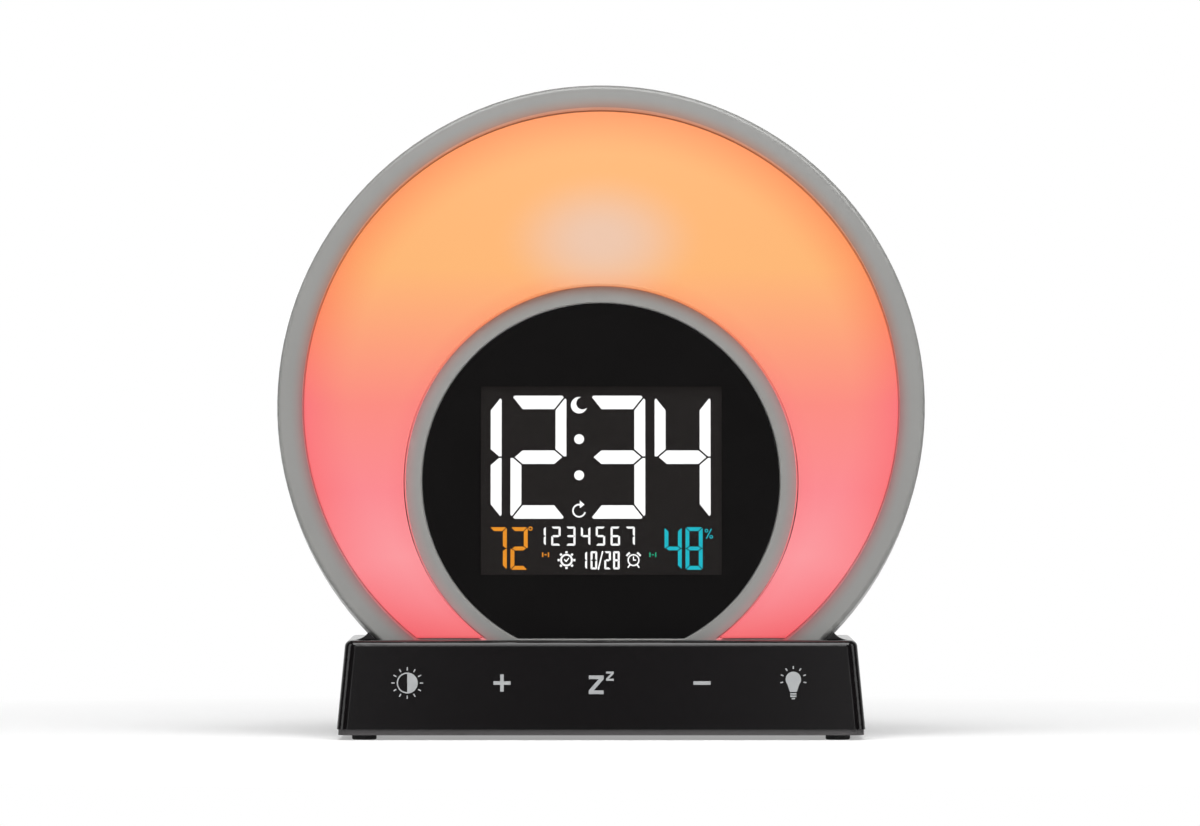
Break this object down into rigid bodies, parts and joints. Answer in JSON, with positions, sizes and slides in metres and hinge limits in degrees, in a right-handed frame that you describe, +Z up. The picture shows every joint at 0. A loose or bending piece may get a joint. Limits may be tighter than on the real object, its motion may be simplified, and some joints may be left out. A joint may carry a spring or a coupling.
{
  "type": "sunrise alarm clock",
  "caption": "Round back-leaning wake-up light with a round display in it, on a gloss black touch base, with rear keys, speaker and a hinged battery door.",
  "frame": {"origin": "on the table under the middle of the clock, at the bottom of the feet", "axes": "+Z up, +Y towards the back of the clock, +X to the right seen from the front"},
  "size_m": [0.18, 0.068, 0.1817],
  "materials": {
    "bezel_grey": "satin",
    "diffuser": "emissive",
    "lens_black": "polished",
    "lcd": "polished",
    "mask_black": "matt",
    "light_guide": "satin",
    "inner_plastic": "satin",
    "board_green": "satin",
    "board_white": "satin",
    "chip_black": "matt",
    "led_yellow": "emissive",
    "cover_white": "satin",
    "key_black": "satin",
    "steel": "satin",
    "contact": "polished",
    "brass": "polished",
    "paper_cone": "matt",
    "base_black": "gloss",
    "plate_black": "matt",
    "rubber": "matt",
    "lead": "matt"
  },
  "bodies": {
    "clock": {"alarm_key_switch": "chip_black", "backlight_guide": "light_guide", "backup_cell": "contact", "base_plate": "plate_black", "base_shell": "base_black", "cell_contact_minus": "contact", "cell_contact_plus": "contact", "climate_sensor": "chip_black", "climate_sensor_board": "board_green", "clock_key_switch": "chip_black", "cover_screws": "steel", "dc_jack": "chip_black", "dc_jack_pin": "contact", "display_key_switch": "chip_black", "display_lens": "lens_black", "display_mask": "mask_black", "foot_front_left": "rubber", "foot_front_right": "rubber", "foot_rear_left": "rubber", "foot_rear_right": "rubber", "front_bezel": "bezel_grey", "head_lead": "lead", "key_board": "board_green", "key_board_screws": "steel", "lcd_frame": "inner_plastic", "lcd_glass": "lcd", "lcd_lead": "lead", "light_board": "board_white", "light_diffuser": "diffuser", "light_leds": "led_yellow", "light_reflector": "inner_plastic", "main_board": "board_green", "main_board_chips": "chip_black", "neck_screws": "steel", "plate_screws": "steel", "power_board": "board_green", "power_board_parts": "chip_black", "rear_cover": "cover_white", "sound_key_switch": "chip_black", "speaker_cone": "paper_cone", "speaker_frame": "steel", "speaker_magnet": "steel", "touch_board": "board_green", "touch_pads": "brass", "usb_shell": "contact", "usb_tongue": "board_white"},
    "alarm_key": {"alarm_key": "key_black", "alarm_key_stem": "key_black"},
    "clock_key": {"clock_key": "key_black", "clock_key_stem": "key_black"},
    "sound_key": {"sound_key": "key_black", "sound_key_stem": "key_black"},
    "display_key": {"display_key": "key_black", "display_key_stem": "key_black"},
    "battery_door": {"battery_door": "cover_white"}
  },
  "joints": [
    {"name": "alarm_key_press", "type": "slide", "parent": "clock", "child": "alarm_key", "axis": [0, -0.9925, 0.1219], "range_m": [0, 0.0006], "stiffness_N_per_m": 1200},
    {"name": "clock_key_press", "type": "slide", "parent": "clock", "child": "clock_key", "axis": [0, -0.9925, 0.1219], "range_m": [0, 0.0006], "stiffness_N_per_m": 1200},
    {"name": "sound_key_press", "type": "slide", "parent": "clock", "child": "sound_key", "axis": [0, -0.9925, 0.1219], "range_m": [0, 0.0006], "stiffness_N_per_m": 1200},
    {"name": "display_key_press", "type": "slide", "parent": "clock", "child": "display_key", "axis": [0, -0.9925, 0.1219], "range_m": [0, 0.0006], "stiffness_N_per_m": 1200},
    {"name": "battery_door_hinge", "type": "hinge", "parent": "clock", "child": "battery_door", "pos_m": [0, 0.01529, 0.04211], "axis": [-1, 0, 0], "range_deg": [0, 80]}
  ]
}
